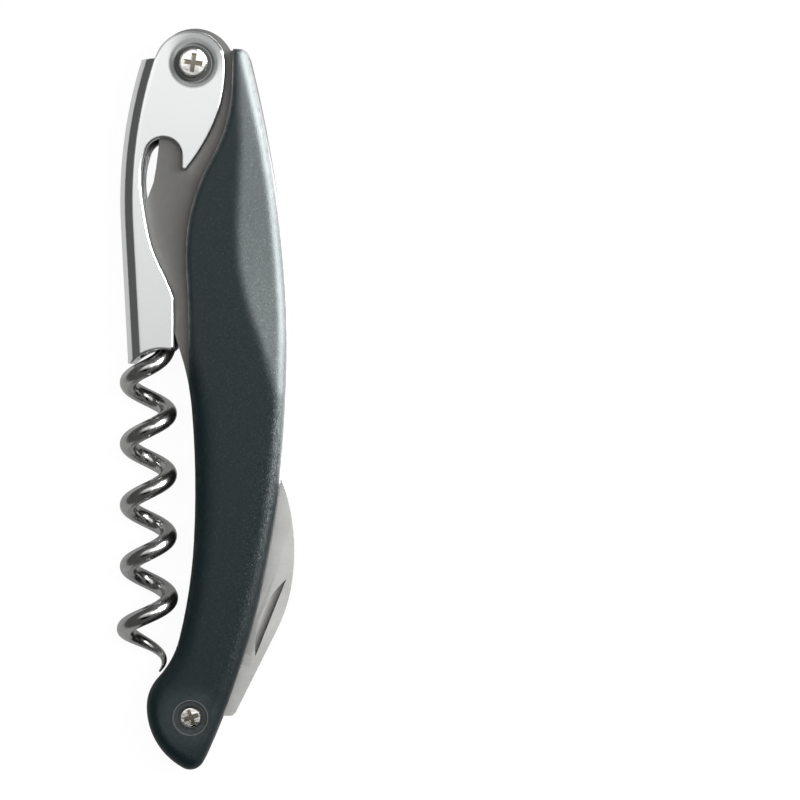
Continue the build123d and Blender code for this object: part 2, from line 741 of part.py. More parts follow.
# Pivots: a headed sleeve from the rear and a cross-head screw from the front
screw_seat = lever_seat + lever_washer_thickness
pivots = {
    "lever_pivot": (lever_pivot, lever_sleeve_diameter, lever_head_diameter, screw_seat),
    "knife_pivot": (knife_pivot, knife_sleeve_diameter, knife_head_diameter, knife_seat),
}
crosses = {"lever_pivot": (lever_cross, lever_cross_turn), "knife_pivot": (knife_cross, knife_cross_turn)}
for name, (spot, sleeve, head, seat) in pivots.items():
    cross, cross_turn = crosses[name]
    pivot_axis = Axis((*spot, 0), (0, 0, 1))
    screw_end = seat - screw_length
    with BuildPart() as screw:
        with BuildSketch(Plane((*spot, mid), x_dir=(1, 0, 0), z_dir=(0, -1, 0))):
            with BuildLine():
                Polyline(
                    (0, seat + head_height),
                    (head / 2 - head_crown, seat + head_height),
                    (head / 2, seat + head_height - head_crown),
                    (head / 2, seat),
                    (screw_diameter / 2, seat),
                    (screw_diameter / 2, screw_end),
                    (0, screw_end),
                    close=True,
                )
            make_face()
        revolve(axis=pivot_axis)
        with BuildSketch(mid_plane.offset(seat + head_height - cross_depth)):
            with Locations(spot):
                Rectangle(cross, cross_width, rotation=cross_turn)
                Rectangle(cross_width, cross, rotation=cross_turn)
        extrude(amount=cross_depth, mode=Mode.SUBTRACT)
    keep(screw.part, f"{name}_screw")
    with BuildPart() as sleeve_part:
        with BuildSketch(Plane((*spot, mid), x_dir=(1, 0, 0), z_dir=(0, -1, 0))):
            with BuildLine():
                Polyline(
                    (0, -seat - head_height),
                    (head / 2 - head_crown, -seat - head_height),
                    (head / 2, -seat - head_height + head_crown),
                    (head / 2, -seat),
                    (sleeve / 2, -seat),
                    (sleeve / 2, seat - screw_gap),
                    (screw_diameter / 2, seat - screw_gap),
                    (screw_diameter / 2, screw_end - screw_room),
                    (0, screw_end - screw_room),
                    close=True,
                )
            make_face()
        revolve(axis=pivot_axis)
    keep(sleeve_part.part, f"{name}_sleeve")
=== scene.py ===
import json
from math import cos, pi, radians, sin

import bmesh
import bpy
from bpy.props import FloatProperty, FloatVectorProperty, PointerProperty
from bpy.types import Operator, Panel, PropertyGroup
from mathutils import Matrix, Vector
from mathutils.geometry import interpolate_bezier


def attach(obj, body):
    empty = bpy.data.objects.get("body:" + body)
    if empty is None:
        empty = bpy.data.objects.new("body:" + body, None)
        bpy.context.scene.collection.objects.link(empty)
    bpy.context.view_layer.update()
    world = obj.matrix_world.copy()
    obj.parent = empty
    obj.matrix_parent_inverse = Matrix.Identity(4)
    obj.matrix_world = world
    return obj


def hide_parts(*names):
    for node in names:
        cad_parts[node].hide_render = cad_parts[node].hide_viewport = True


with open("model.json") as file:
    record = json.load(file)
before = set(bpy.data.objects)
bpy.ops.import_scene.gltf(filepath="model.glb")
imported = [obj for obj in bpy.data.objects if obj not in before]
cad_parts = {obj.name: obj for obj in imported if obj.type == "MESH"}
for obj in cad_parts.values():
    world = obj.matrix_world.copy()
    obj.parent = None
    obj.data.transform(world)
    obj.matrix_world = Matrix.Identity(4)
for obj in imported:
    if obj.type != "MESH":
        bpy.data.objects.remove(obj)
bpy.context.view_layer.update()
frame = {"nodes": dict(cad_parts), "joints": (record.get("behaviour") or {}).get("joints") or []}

bl_info = {
    "name": "Lever Corkscrew",
    "version": (1, 0, 0),
    "blender": (4, 5, 0),
    "location": "View3D > Sidebar > Corkscrew",
    "description": "Finishes a folding lever corkscrew and sets it in a studio",
    "category": "Object",
}

PAINTED = ("handle_half_front", "handle_half_rear", "worm_pivot_pin")
SCREWS = ("lever_pivot_screw", "knife_pivot_screw")
SLEEVES = ("lever_pivot_sleeve", "knife_pivot_sleeve")
# The lever's washers are darkened with painted shade.
SHADED_WASHERS = ("lever_washer_front", "lever_washer_rear")
HIDDEN_STEEL = (
    "worm_washer_front",
    "worm_washer_rear",
    "knife_washer_front",
    "knife_washer_rear",
    "spring_pin_upper",
    "spring_pin_lower",
    "dowel_upper",
    "dowel_lower",
)
PIVOTS = {joint["name"]: Vector(joint["pos_m"]) for joint in frame["joints"]}
MIDDLE = PIVOTS["lever_fold"].z

# Lengths are in metres. A pair says where an effect begins and where it ends.

# The lowered flank: its height from the middle plane, its foot and its edge, which leans further up.
FLANK_HEIGHT = 0.00404
FLANK_FOOT = -0.0025
FLANK_EDGE = -0.0022
FLANK_LEAN = 0.245
FLANK_LEAN_START = 0.020
FLANK_MOTTLE = 1.25
MOTTLE_DENSITY = 900.0

# The grip: how far the handle's middle moves across on its way along, and what lies either side of it.
HANDLE_BEND = -0.17
WORM_SIDE = (0.0045, 0.0085)
KNIFE_SIDE = (0.0090, 0.0125)
GRIP_END = (-0.004, 0.014)
COARSE_FLAKES = 1.9

# The grain of bare metal: the patches behind its streaks, and the height of a streak.
PATCH_DENSITY = 160.0
PATCH_WEIGHT = 0.6
STREAK_HEIGHT = 0.00002

# Flakes that stand out: which of the cells they are, and how far they and the others lean.
SPECK_CELLS = (0.95, 0.98)
SPECK_LEAN = 0.7
GROUND_LEAN = 0.75

# A painted highlight along the flank: the slopes of the softened and the plain edge, and its lower end.
HIGHLIGHT_SOFT_SLOPE = (0.69, 0.77)
HIGHLIGHT_PLAIN_SLOPE = (0.30, 0.60)
HIGHLIGHT_END = (0.002, 0.014)

# Radii round the knife pivot, and the weights of its paler paint and of the painted highlight.
KNIFE_FLAT = (0.0032, 0.0038)
KNIFE_CLEAR = (0.0042, 0.0068)
HALO = (0.0026, 0.0062)
HALO_WEIGHT = 0.40
RING = 0.00272
RING_HALF_WIDTH = 0.00008
RING_HIGHLIGHT_WEIGHT = 0.35
# The well inside the ring: painted light in the counterbore.
WELL = 0.00265

# Radii round the lever pivot, and the middle of the painted shade round its dish from there.
# The dish's darker colour is painted shade; the dish is also made rougher.
DISH = (0.0037, 0.0041)
DISH_ROUGHER = 0.50
LIP_INSIDE = (0.0031, 0.0035)
LIP_OUTSIDE = (0.0042, 0.0046)
HOLLOW_MIDDLE = Vector((0.0010, 0.0022, 0.0))
HOLLOW = (0.0022, 0.0056)
HOLLOW_SHADE_WEIGHT = 0.78

# The worm's wire and shank. The shank's side is given across from the pivot and up from the neck.
WIRE_SIDES = 28
TURN_STEPS = 48
BEND_POINTS = 14
BEND_REACH = 0.42
FIRST_STEP = 0.001
ROOT_INSET = 0.00005
EYE_MIDDLE = Vector((-0.00031, -0.00062, 0.0))
EYE_ARC = radians(134.9)
EYE_STEPS = 24
HOLE_SIDES = 40
SHANK_SIDE = (
    (-0.003475, 0.0015),
    (-0.003, 0.00083),
    (-0.002075, 0.0004),
    (-0.0011, 0.00013),
    (-0.000075, 0.0),
)
SHANK_ROUNDING = 0.00025
RIM_ANGLE = 1.2
SMOOTH_ANGLE = radians(40)

# The nail nick: its two ends from the knife pivot, its place beside that line, and its shade by depth.
BLADE_FACE = MIDDLE + 0.0008
NICK_FOOT = PIVOTS["knife_fold"] + Vector((0.0100, 0.00924, 0.0))
NICK_HEAD = PIVOTS["knife_fold"] + Vector((0.01494, 0.02156, 0.0))
NICK_BESIDE = 0.00105
NICK_HALF_WIDTH = 0.00110
NICK_HALF_LENGTH = 0.0068
NICK_LIP = (0.00001, 0.00004)
NICK_LIP_SHADE = 0.15
NICK_DEPTH = (0.00004, 0.0005)
NICK_SHADE = 0.65

# The screw heads: heights from the cross's floor to the face, their dome and their dents.
CROSS = (0.01226, 0.01242)
HEAD_DOME = -26.0
DENT_DENSITY = 1300.0
DENT_DEPTH = 0.00007

# The studio: the floor's width and glow, and where its white in metal and the overhead panel change.
FLOOR_WIDTH = 6
FLOOR_GLOW = 1.25
FLOOR_CHANGE = (-0.010, 0.015)
SKY_EDGE = (0.875, 0.905)
WHITE = (1, 1, 1, 1)

# A Mix node's sockets for its two values and its result.
MIX_SOCKETS = {"RGBA": (6, 7, 2), "VECTOR": (4, 5, 1)}


def colour(name, description, default):
    """A colour property."""
    return FloatVectorProperty(
        name=name, description=description, subtype="COLOR", size=3, min=0.0, max=1.0, default=default
    )


def share(name, description, default):
    """A property between none and all."""
    return FloatProperty(
        name=name, description=description, subtype="FACTOR", min=0.0, max=1.0, default=default
    )


def amount(name, description, default):
    """A plain number."""
    return FloatProperty(name=name, description=description, default=default, precision=4)


def length(name, description, default):
    """A length property in metres."""
    return FloatProperty(
        name=name, description=description, subtype="DISTANCE", unit="LENGTH", default=default, precision=5
    )


class PaintSettings(PropertyGroup):
    """The handle's paint."""

    face: colour("Face", "Colour of the gloss paint", (0.0013, 0.0085, 0.0105))
    # The flank's paler grey is painted light; its matt roughness is its own.
    flank: colour("Flank", "Colour of the matt lowered flank", (0.097, 0.093, 0.089))
    speck: colour("Speck", "Colour of the flakes that stand out", (0.010, 0.020, 0.022))
    # Paler paint round the knife pivot, mottled.
    halo: colour("Halo", "Colour of the paint that is paler round the knife pivot", (0.075, 0.082, 0.082))
    # The ring's colour is a painted highlight on the counterbore's edge.
    ring: colour("Ring", "Colour of the bare ring at the knife pivot", (0.30, 0.31, 0.31))
    # The well's colour is painted light in the counterbore.
    well: colour("Well", "Colour of the paint inside that ring", (0.050, 0.054, 0.053))
    # A painted highlight along the flank's edge, speckled by the mottle.
    ridge_highlight: colour("Highlight", "Colour of the rubbed line along the flank", (0.45, 0.46, 0.46))
    shine: colour("Shine", "Tint of the paint's shine", (0.74, 0.80, 0.795))
    shine_level: share("Shine level", "Strength of the paint's shine", 0.45)
    gloss: share("Face roughness", "Roughness of the gloss paint", 0.36)
    matt: share("Flank roughness", "Roughness of the lowered flank", 0.62)
    softness: length("Edge softness", "Reach of the paint's rounding at the upper ridges", 0.0012)
    softness_low: length("Lower softness", "Reach of the paint's rounding along the grip", 0.0045)
    flake_size: length("Flake size", "Width of one flake in the paint", 0.00012)
    flake_tilt: share("Flake tilt", "How far the flakes lean out of the surface", 0.085)


class SteelSettings(PropertyGroup):
    """The bare metal."""

    lever: colour("Lever", "Colour of the plated lever", (0.86, 0.87, 0.87))
    worm: colour("Worm", "Colour of the polished wire", (0.52, 0.52, 0.51))
    blade: colour("Blade", "Colour of the ground blade", (0.53, 0.53, 0.515))
    hardware: colour("Hardware", "Colour of screws, washers and pins", (0.80, 0.79, 0.76))
    # The lever's washers: painted shade.
    washer_shade: colour("Shade", "Colour of the lever's washers", (0.030, 0.030, 0.030))
    # The hollow's colour is painted shade round the dish, on a flat ear.
    hollow: colour("Hollow", "Colour of the pressed hollow round the lever's dish", (0.30, 0.31, 0.31))
    # The dish's colour is painted shade.
    dish: colour("Dish", "Colour of the lever's dish", (0.20, 0.21, 0.205))
    nick: colour("Nick", "Colour deep in the nail nick", (0.07, 0.065, 0.065))
    screw: colour("Screw", "Colour of the screw heads", (0.92, 0.91, 0.88))
    # The crosses' colour is painted shade.
    cross: colour("Cross", "Colour in the screws' crosses", (0.22, 0.20, 0.16))
    spring: colour("Spring", "Colour of the blackened back spring", (0.02, 0.022, 0.022))
    lever_rough: share("Lever roughness", "Roughness of the plating", 0.10)
    worm_rough: share("Worm roughness", "Roughness of the polished wire", 0.23)
    blade_rough: share("Blade roughness", "Roughness of the ground blade", 0.40)
    hardware_rough: share("Hardware roughness", "Roughness of screws and pins", 0.20)
    washer_shade_rough: share("Fibre roughness", "Roughness of the lever's washers", 0.5)
    spring_rough: share("Spring roughness", "Roughness of the back spring", 0.4)


class WormSettings(PropertyGroup):
    """The wound wire and its flat shank."""

    wire: length("Wire", "Diameter of the wire", 0.00275)
    coil: length("Coil", "Outer diameter of the coil", 0.00915)
    axis: length("Axis", "From the pivot to the coil's axis", 0.00195)
    start: length("Start", "From the pivot down to the first front crossing", 0.0224)
    pitch: length("Pitch", "Drop of one turn", 0.0475 / 4.85)
    turns: amount("Turns", "Turns from the first front crossing to the tip", 4.85)
    tip_turns: amount("Tip turns", "Turns that are ground to the point", 0.6)
    tip: length("Tip", "Diameter of the point", 0.0003)
    flare_turns: amount("Flare turns", "Turns that are opened out before the point", 1.35)
    flare: length("Flare", "How far the last turn opens out", 0.00075)
    tip_draw: length("Tip draw", "How far the point is drawn in and down", 0.0009)
    neck: length("Neck", "From the pivot down to where the wire leaves the flat", 0.014)
    draw: length("Draw", "Length over which the flat is drawn down to the wire", 0.0075)
    bend: length("Bend", "From the pivot down to where the wire turns into the coil", 0.01715)
    shank_thickness: length("Shank thickness", "Thickness of the flat shank", 0.0024)
    eye: length("Eye", "Diameter of the hole for the pin", 0.0031)


class StudioSettings(PropertyGroup):
    """The camera, floor and light."""

    view_x: length("View across", "Where the camera looks, across the handle", 0.03111)
    view_y: length("View along", "Where the camera looks, along the handle", -0.00018)
    view_height: length("View height", "Height of the plane that the camera is set by", MIDDLE)
    distance: length("Distance", "From the camera to that plane", 0.490)
    field: length("Field", "Width of the picture at that plane", 0.128)
    rim_light: amount("Rim light", "Power of the low soft light behind the handle in watts", 20.5)
    facet_light: amount("Facet light", "Power of the high soft light behind the handle in watts", 1.45)
    edge_light: amount("Edge light", "Power of the panel on the floor behind the handle in watts", 0.80)
    fill_light: amount("Fill light", "Power of the overhead fill in watts", 2.3)
    sky: amount("Sky", "Brightness of the panel overhead", 0.71)
    sky_slope: amount("Sky slope", "How much brighter the panel gets towards the lever", 2.6)
    surround: amount("Surround", "Brightness of the room round the panel", 0.10)
    floor: share("Floor", "How pale the floor's own surface is", 0.30)
    floor_glow: share("Floor glow", "Share of the floor that shows as plain white", 0.75)
    floor_mirror: share("Floor in metal", "Share of that white which metal shows by the lever", 0.42)
    floor_mirror_low: share("Lower floor in metal", "Share of that white which metal shows by the worm", 0.22)


class Nodes:
    """A short way to add and link a tree's nodes."""

    def __init__(self, tree):
        self.tree = tree

    def put(self, socket, value):
        if isinstance(value, bpy.types.NodeSocket):
            self.tree.links.new(value, socket)
        else:
            socket.default_value = value

    def add(self, kind, **inputs):
        node = self.tree.nodes.new(kind)
        for name, value in inputs.items():
            self.put(node.inputs[name.replace("_", " ")], value)
        return node

    def maths(self, operation, *values):
        node = self.tree.nodes.new("ShaderNodeMath")
        node.operation = operation
        for socket, value in zip(node.inputs, values):
            self.put(socket, value)
        return node.outputs["Value"]

    def vector(self, operation, *values):
        node = self.tree.nodes.new("ShaderNodeVectorMath")
        node.operation = operation
        for socket, value in zip(node.inputs, values):
            self.put(socket, value)
        return node.outputs["Value" if operation in {"DOT_PRODUCT", "LENGTH"} else "Vector"]

    def scale(self, value, factor):
        node = self.tree.nodes.new("ShaderNodeVectorMath")
        node.operation = "SCALE"
        self.put(node.inputs["Vector"], value)
        self.put(node.inputs["Scale"], factor)
        return node.outputs["Vector"]

    def radius(self, place, pivot):
        offset = self.vector("SUBTRACT", place, tuple(pivot))
        return self.vector("LENGTH", self.vector("MULTIPLY", offset, (1, 1, 0)))

    def range(self, value, low, high, start, end):
        node = self.add("ShaderNodeMapRange", Value=value)
        node.interpolation_type = "SMOOTHSTEP"
        for name, number in (("From Min", low), ("From Max", high), ("To Min", start), ("To Max", end)):
            self.put(node.inputs[name], number)
        return node.outputs["Result"]

    def product(self, first, *others):
        result = first
        for other in others:
            result = self.maths("MULTIPLY", result, other)
        return result

    def mix(self, kind, factor, first, second):
        node = self.tree.nodes.new("ShaderNodeMix")
        node.data_type = kind
        first_socket, second_socket, result = MIX_SOCKETS[kind]
        self.put(node.inputs["Factor"], factor)
        self.put(node.inputs[first_socket], first)
        self.put(node.inputs[second_socket], second)
        return node.outputs[result]

    def blend(self, factor, first, second):
        return self.mix("RGBA", factor, first, second)

    def blend_normals(self, factor, first, second):
        return self.mix("VECTOR", factor, first, second)

    def upright(self, place):
        height = self.add("ShaderNodeSeparateXYZ", Vector=place).outputs["Z"]
        side = self.maths("SIGN", self.maths("SUBTRACT", height, MIDDLE))
        return self.add("ShaderNodeCombineXYZ", Z=side).outputs["Vector"]

    def slope(self, normal):
        return self.maths("ABSOLUTE", self.add("ShaderNodeSeparateXYZ", Vector=normal).outputs["Z"])

    def seen_directly(self, path):
        return self.maths("MAXIMUM", path["Is Camera Ray"], path["Is Transmission Ray"])

    def mix_shaders(self, factor, first, second, output):
        mix = self.add("ShaderNodeMixShader", Fac=factor)
        self.link(first, mix.inputs[1])
        self.link(second, mix.inputs[2])
        self.link(mix.outputs["Shader"], output.inputs["Surface"])

    def link(self, source, target):
        self.tree.links.new(source, target)


def solid(tint):
    """A colour with full alpha, as a socket takes it."""
    return (*tint, 1.0)


def new_group(name, inputs, outputs):
    """A shader node group with named sockets."""
    tree = bpy.data.node_groups.new(name, "ShaderNodeTree")
    for socket, kind in inputs.items():
        tree.interface.new_socket(socket, in_out="INPUT", socket_type=kind)
    for socket, kind in outputs.items():
        tree.interface.new_socket(socket, in_out="OUTPUT", socket_type=kind)
    nodes = Nodes(tree)
    return nodes, nodes.add("NodeGroupInput").outputs, nodes.add("NodeGroupOutput").inputs


def place_group(nodes, name, **inputs):
    """Put a node group into a material and return its outputs."""
    node = nodes.tree.nodes.new("ShaderNodeGroup")
    node.node_tree = bpy.data.node_groups[name]
    for socket, value in inputs.items():
        nodes.put(node.inputs[socket.replace("_", " ")], value)
    return node.outputs


def make_metal_grain():
    """Streaks or specks that change a metal's colour, roughness and surface."""
    nodes, given, out = new_group(
        "metal_grain",
        {
            "Stretch": "NodeSocketVector",
            "Colour": "NodeSocketColor",
            "Contrast": "NodeSocketFloat",
            "Roughness": "NodeSocketFloat",
            "Spread": "NodeSocketFloat",
            "Depth": "NodeSocketFloat",
            "Surface": "NodeSocketVector",
        },
        {"Colour": "NodeSocketColor", "Roughness": "NodeSocketFloat", "Normal": "NodeSocketVector"},
    )
    place = nodes.add("ShaderNodeTexCoord").outputs["Object"]
    streaks = nodes.add(
        "ShaderNodeTexNoise", Vector=nodes.vector("MULTIPLY", place, given["Stretch"]), Scale=1.0, Detail=3.0
    )
    patches = nodes.add("ShaderNodeTexNoise", Vector=place, Scale=PATCH_DENSITY, Detail=2.0)
    streak = nodes.maths("SUBTRACT", streaks.outputs["Fac"], 0.5)
    patch = nodes.maths("SUBTRACT", patches.outputs["Fac"], 0.5)
    both = nodes.maths("MULTIPLY_ADD", patch, PATCH_WEIGHT, streak)
    gain = nodes.maths("MULTIPLY_ADD", both, given["Contrast"], 1.0)
    nodes.link(nodes.scale(given["Colour"], gain), out["Colour"])
    nodes.link(nodes.maths("MULTIPLY_ADD", both, given["Spread"], given["Roughness"]), out["Roughness"])
    bump = nodes.add(
        "ShaderNodeBump",
        Strength=given["Depth"],
        Distance=STREAK_HEIGHT,
        Height=streaks.outputs["Fac"],
        Normal=given["Surface"],
    )
    nodes.link(bump.outputs["Normal"], out["Normal"])


def make_paint_flakes():
    """Flakes in the paint, each with its own lean, as a normal and a speckle mask."""
    nodes, given, out = new_group(
        "paint_flakes",
        {"Density": "NodeSocketFloat", "Lean": "NodeSocketFloat", "Surface": "NodeSocketVector"},
        {"Normal": "NodeSocketVector", "Speckle": "NodeSocketFloat"},
    )
    place = nodes.add("ShaderNodeTexCoord").outputs["Object"]
    cells = nodes.add("ShaderNodeTexVoronoi", Vector=place, Scale=given["Density"])
    split = nodes.add("ShaderNodeSeparateColor", Color=cells.outputs["Color"])
    speckle = nodes.range(split.outputs["Red"], *SPECK_CELLS, 0.0, 1.0)
    proud = nodes.product(nodes.maths("MULTIPLY_ADD", speckle, SPECK_LEAN, GROUND_LEAN), given["Lean"])
    lean = nodes.vector("SUBTRACT", cells.outputs["Color"], (0.5, 0.5, 0.5))
    leaned = nodes.vector("ADD", given["Surface"], nodes.scale(lean, proud))
    nodes.link(nodes.vector("NORMALIZE", leaned), out["Normal"])
    nodes.link(speckle, out["Speckle"])


def new_material(name):
    """A material with an empty tree, its output and a Principled shader."""
    material = bpy.data.materials.new(name)
    material.use_nodes = True
    material.node_tree.nodes.clear()
    nodes = Nodes(material.node_tree)
    output = nodes.add("ShaderNodeOutputMaterial")
    shader = nodes.add("ShaderNodeBsdfPrincipled")
    nodes.link(shader.outputs["BSDF"], output.inputs["Surface"])
    return material, nodes, shader


def dress(material, *names):
    """Give a material to CAD nodes."""
    for name in names:
        piece = frame["nodes"][name]
        piece.data.materials.clear()
        piece.data.materials.append(material)


def metal(name, tint, roughness, stretch, contrast, spread, depth, softness=0.0, flatness=0.0):
    """A bare metal with its grain and the rounding of its edges."""
    material, nodes, shader = new_material(name)
    shader.inputs["Metallic"].default_value = 1.0
    if softness:
        surface = nodes.add("ShaderNodeBevel", Radius=softness).outputs["Normal"]
    else:
        surface = nodes.add("ShaderNodeNewGeometry").outputs["Normal"]
    if flatness:
        kept = 1.0 - flatness
        surface = nodes.vector("NORMALIZE", nodes.vector("MULTIPLY", surface, (kept, kept, 1.0)))
    grain = place_group(
        nodes,
        "metal_grain",
        Stretch=stretch,
        Colour=solid(tint),
        Contrast=contrast,
        Roughness=roughness,
        Spread=spread,
        Depth=depth,
        Surface=surface,
    )
    nodes.link(grain["Colour"], shader.inputs["Base Color"])
    nodes.link(grain["Roughness"], shader.inputs["Roughness"])
    nodes.link(grain["Normal"], shader.inputs["Normal"])
    return material, nodes, shader, grain


class CORKSCREW_OT_make_effects(Operator):
    """Make the grain and flake effects that the materials share"""

    bl_idname = "corkscrew.make_effects"
    bl_label = "Make Effects"

    def execute(self, context):
        make_metal_grain()
        make_paint_flakes()
        return {"FINISHED"}


class CORKSCREW_OT_paint_handle(Operator):
    """Paint both handle halves, gloss outside and matt on the lowered flank"""

    bl_idname = "corkscrew.paint_handle"
    bl_label = "Paint Handle"

    def execute(self, context):
        settings = context.scene.corkscrew_paint
        material, nodes, shader = new_material("handle_paint")
        place = nodes.add("ShaderNodeTexCoord").outputs["Object"]
        spot = nodes.add("ShaderNodeSeparateXYZ", Vector=place).outputs
        reach = nodes.radius(place, PIVOTS["knife_fold"])
        off_centre = nodes.maths("MULTIPLY_ADD", spot["Y"], HANDLE_BEND, spot["X"])
        worm_side = nodes.range(off_centre, *WORM_SIDE, 1.0, 0.0)
        lower = nodes.range(spot["Y"], *GRIP_END, 1.0, 0.0)
        flank = self.find_flank(nodes, spot)

        grip = nodes.product(worm_side, lower)
        deeper = settings.softness_low - settings.softness
        rounding = nodes.maths("MULTIPLY_ADD", grip, deeper, settings.softness)
        clear = nodes.range(reach, *KNIFE_CLEAR, 0.0, 1.0)
        soft = nodes.add("ShaderNodeBevel", Radius=nodes.product(rounding, clear)).outputs["Normal"]
        plain = nodes.add("ShaderNodeNewGeometry").outputs["Normal"]
        surface = nodes.blend_normals(flank, soft, plain)
        flat = nodes.range(reach, *KNIFE_FLAT, 1.0, 0.0)
        surface = nodes.blend_normals(flat, surface, nodes.upright(place))

        coarse = nodes.product(nodes.range(off_centre, *KNIFE_SIDE, 0.0, COARSE_FLAKES), lower)
        flakes = place_group(
            nodes,
            "paint_flakes",
            Density=1.0 / settings.flake_size,
            Lean=nodes.maths("MULTIPLY_ADD", coarse, settings.flake_tilt, settings.flake_tilt),
            Surface=surface,
        )
        mottle = nodes.add("ShaderNodeTexNoise", Vector=place, Scale=MOTTLE_DENSITY, Detail=4.0)
        mottle = mottle.outputs["Fac"]
        # A painted highlight along the flank's edge, speckled by the mottle.
        line = nodes.product(
            nodes.range(nodes.slope(soft), *HIGHLIGHT_SOFT_SLOPE, 1.0, 0.0),
            nodes.range(nodes.slope(plain), *HIGHLIGHT_PLAIN_SLOPE, 0.0, 1.0),
            nodes.range(spot["Y"], *HIGHLIGHT_END, 0.0, 1.0),
            worm_side,
            mottle,
        )
        paint = nodes.blend(flakes["Speckle"], solid(settings.face), solid(settings.speck))
        paint = self.lighten_pivot(nodes, settings, paint, reach, mottle)
        paint = nodes.blend(line, paint, solid(settings.ridge_highlight))
        # The lowered flank: painted light in a paler grey, mottled at random, and matt.
        lighter = [FLANK_MOTTLE * part for part in settings.flank]
        lit_flank = nodes.blend(mottle, solid(settings.flank), solid(lighter))
        nodes.link(nodes.blend(flank, paint, lit_flank), shader.inputs["Base Color"])
        rough = nodes.maths("MULTIPLY_ADD", flank, settings.matt - settings.gloss, settings.gloss)
        nodes.link(rough, shader.inputs["Roughness"])
        nodes.link(flakes["Normal"], shader.inputs["Normal"])
        shader.inputs["Specular IOR Level"].default_value = settings.shine_level
        shader.inputs["Specular Tint"].default_value = solid(settings.shine)
        dress(material, *PAINTED)
        return {"FINISHED"}

    def find_flank(self, nodes, spot):
        height = nodes.maths("ABSOLUTE", nodes.maths("SUBTRACT", spot["Z"], MIDDLE))
        low = nodes.maths("LESS_THAN", height, FLANK_HEIGHT)
        climb = nodes.maths("MAXIMUM", nodes.maths("SUBTRACT", spot["Y"], FLANK_LEAN_START), 0.0)
        edge = nodes.maths("MULTIPLY_ADD", climb, FLANK_LEAN, FLANK_EDGE)
        front = nodes.maths("LESS_THAN", spot["X"], edge)
        above = nodes.maths("GREATER_THAN", spot["Y"], FLANK_FOOT)
        return nodes.product(low, front, above)

    # Paler paint round the knife pivot, a painted highlight on the counterbore's edge, and painted light
    # inside it.
    def lighten_pivot(self, nodes, settings, paint, reach, mottle):
        halo = nodes.product(nodes.range(reach, *HALO, HALO_WEIGHT, 0.0), mottle)
        # A painted highlight along the counterbore's edge.
        ring = nodes.product(nodes.maths("COMPARE", reach, RING, RING_HALF_WIDTH), RING_HIGHLIGHT_WEIGHT)
        # Painted light in the counterbore, mottled.
        well = nodes.product(nodes.maths("LESS_THAN", reach, WELL), mottle)
        for mark, tint in ((halo, settings.halo), (ring, settings.ring), (well, settings.well)):
            paint = nodes.blend(mark, paint, solid(tint))
        return paint


class CORKSCREW_OT_plate_lever(Operator):
    """Plate the lever, and darken its washers with painted shade"""

    bl_idname = "corkscrew.plate_lever"
    bl_label = "Plate Lever"

    def execute(self, context):
        settings = context.scene.corkscrew_steel
        material, nodes, shader, grain = metal(
            "lever_plate",
            settings.lever,
            settings.lever_rough,
            stretch=(2500, 2500, 2500),
            contrast=0.04,
            spread=0.06,
            depth=0.12,
            softness=0.0003,
        )
        place = nodes.add("ShaderNodeTexCoord").outputs["Object"]
        reach = nodes.radius(place, PIVOTS["lever_fold"])
        # Painted shade in the dish, which is also made rougher.
        dish = nodes.range(reach, *DISH, 1.0, 0.0)
        # Painted shade round the dish, on the flat ear.
        hollow = nodes.radius(place, PIVOTS["lever_fold"] + HOLLOW_MIDDLE)
        hollow = nodes.range(hollow, *HOLLOW, HOLLOW_SHADE_WEIGHT, 0.0)
        plating = nodes.blend(hollow, grain["Colour"], solid(settings.hollow))
        plating = nodes.blend(dish, plating, solid(settings.dish))
        nodes.link(plating, shader.inputs["Base Color"])
        rough = nodes.maths("MULTIPLY_ADD", dish, DISH_ROUGHER, grain["Roughness"])
        nodes.link(rough, shader.inputs["Roughness"])
        inside = nodes.range(reach, *LIP_INSIDE, 0.0, 1.0)
        lip = nodes.product(inside, nodes.range(reach, *LIP_OUTSIDE, 1.0, 0.0))
        surface = nodes.blend_normals(lip, grain["Normal"], nodes.upright(place))
        nodes.link(surface, shader.inputs["Normal"])
        dress(material, "lever")
        # The lever's washers, darkened with painted shade.
        washer_shade, nodes, shader, grain = metal(
            "washer_painted_shade",
            settings.washer_shade,
            settings.washer_shade_rough,
            stretch=(5000, 5000, 5000),
            contrast=0.8,
            spread=0.2,
            depth=0.6,
        )
        shader.inputs["Metallic"].default_value = 0.0
        dress(washer_shade, *SHADED_WASHERS)
        return {"FINISHED"}


def coil_point(worm, turn):
    """A point on the coil's centre line, counted in turns from its first front crossing."""
    pivot = PIVOTS["worm_fold"]
    opened = max(0.0, turn - worm.turns + worm.flare_turns) / worm.flare_turns
    radius = (worm.coil - worm.wire) / 2 + worm.flare * sin(pi * opened) ** 2 - worm.tip_draw * opened**2
    across = -worm.axis - radius * sin(2 * pi * turn)
    along = -worm.start - worm.pitch * turn - worm.tip_draw * opened**2
    return pivot + Vector((across, along, radius * cos(2 * pi * turn)))


